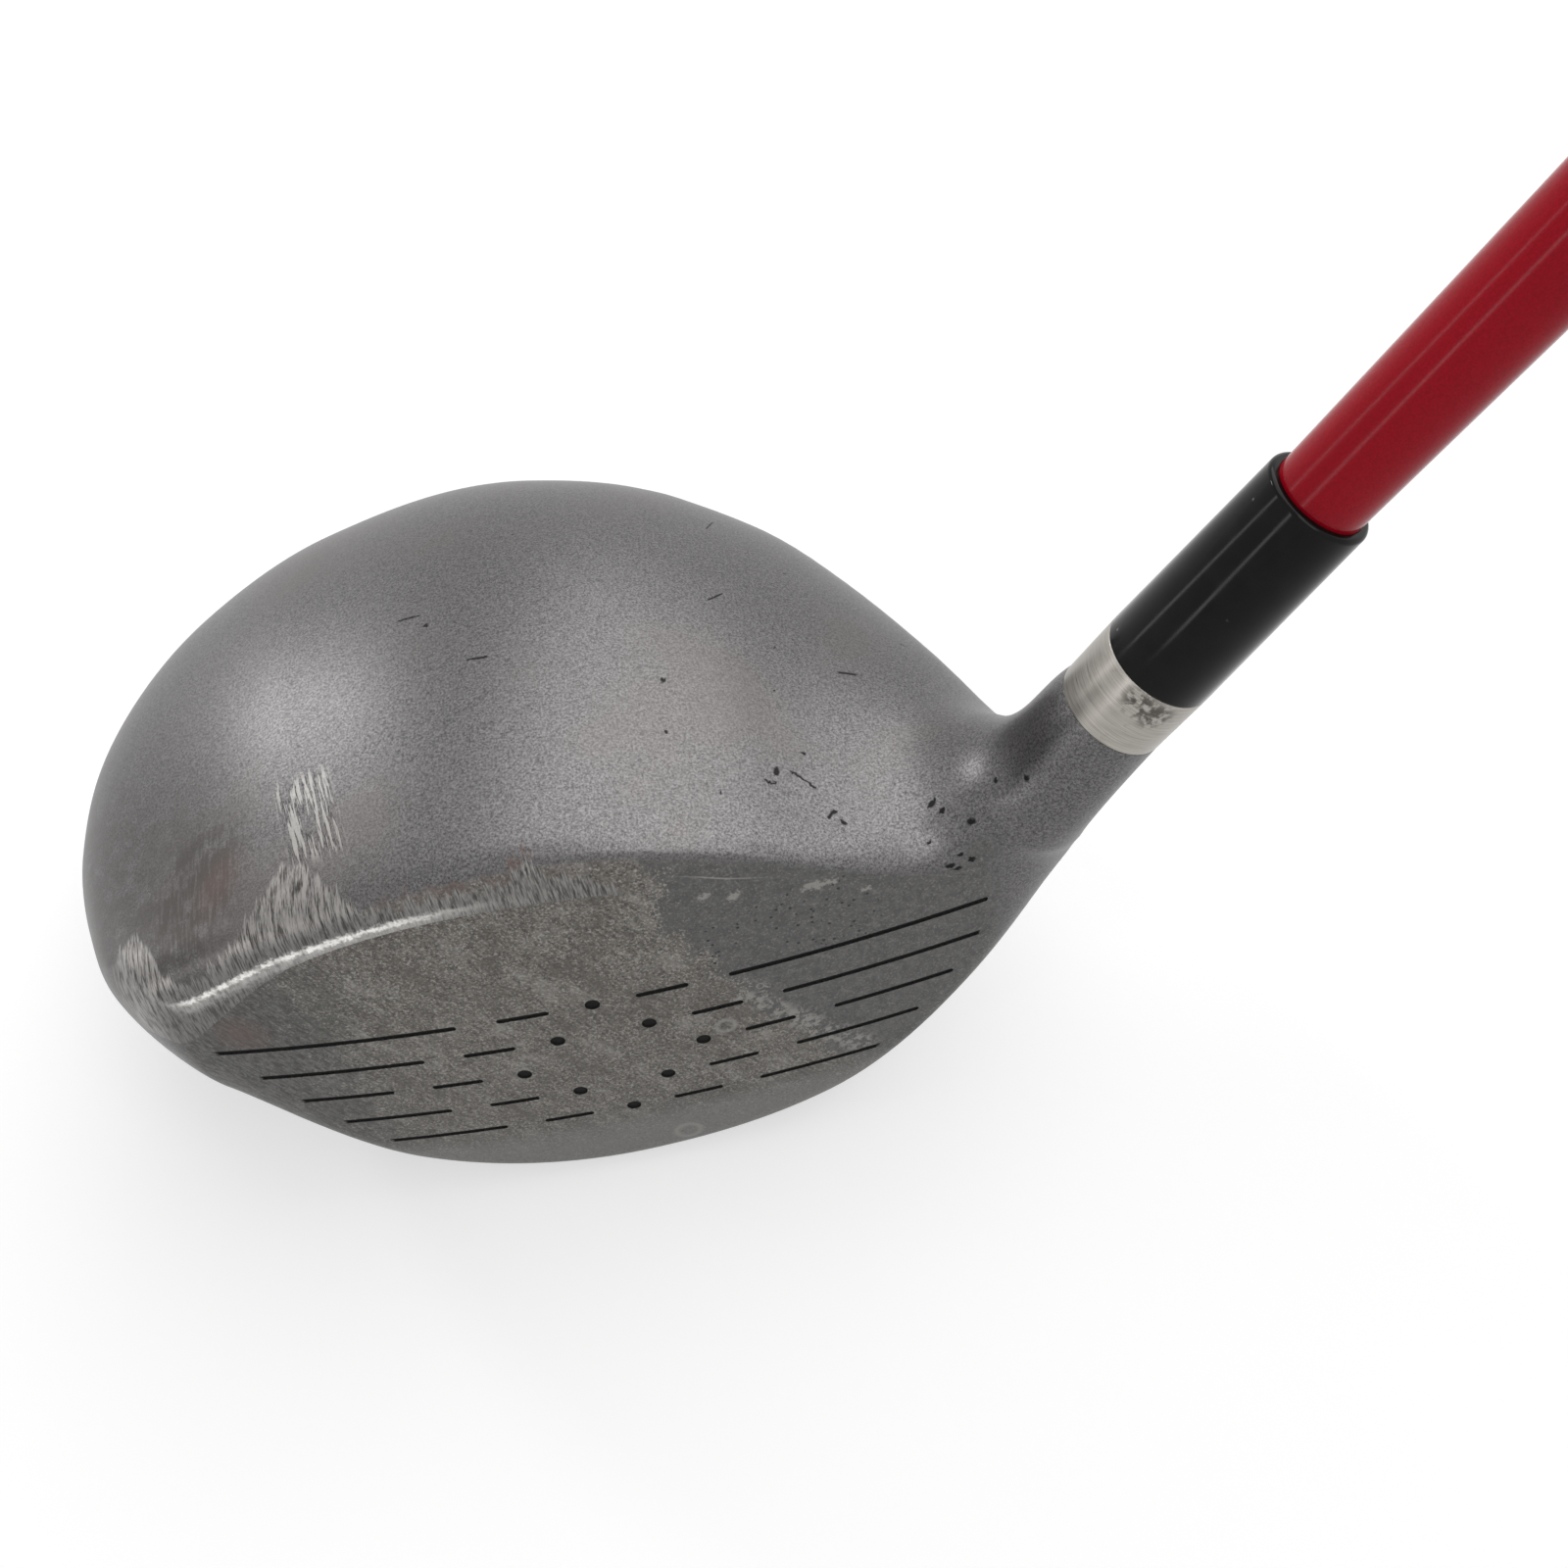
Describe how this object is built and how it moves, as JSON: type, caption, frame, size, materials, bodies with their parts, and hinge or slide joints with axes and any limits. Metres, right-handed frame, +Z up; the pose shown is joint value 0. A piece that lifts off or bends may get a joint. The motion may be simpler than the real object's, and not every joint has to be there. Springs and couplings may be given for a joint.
{
  "type": "golf driver",
  "caption": "Right-handed golf driver: hollow welded metal head with a scored face, bonded hosel with ferrule, tapered red graphite shaft and rubber grip with a vented cap",
  "frame": {"origin": "centre of the sole's resting flat, on the ground plane, with the club at address", "axes": "+Z up from the ground, -Y the way the face looks, -X to the toe, +X to the heel, shaft leaning to +X in a plane of constant Y"},
  "size_m": [0.7295, 0.0882, 0.958],
  "materials": {
    "head_paint": "satin grey metallic, scuffed",
    "score_black": "matt black paint fill",
    "bare_metal": "bare brushed metal",
    "weight_metal": "rough cast",
    "epoxy": "cured epoxy",
    "ferrule_black": "gloss black",
    "shaft_red": "gloss red lacquer over graphite",
    "plug_brass": "plain brass",
    "tape": "double-sided cloth tape",
    "grip_rubber": "matt black rubber"
  },
  "bodies": {
    "root": {"face_plate": "head_paint", "score_paint": "score_black", "crown_shell": "head_paint", "sole_shell": "head_paint", "hosel_neck": "head_paint", "hosel_ring": "bare_metal", "hosel_tube": "bare_metal", "sole_weight": "weight_metal", "epoxy_sleeve": "epoxy", "ferrule": "ferrule_black", "shaft": "shaft_red", "tip_plug": "plug_brass", "grip_tape": "tape", "grip": "grip_rubber", "grip_cap": "grip_rubber"}
  },
  "joints": []
}
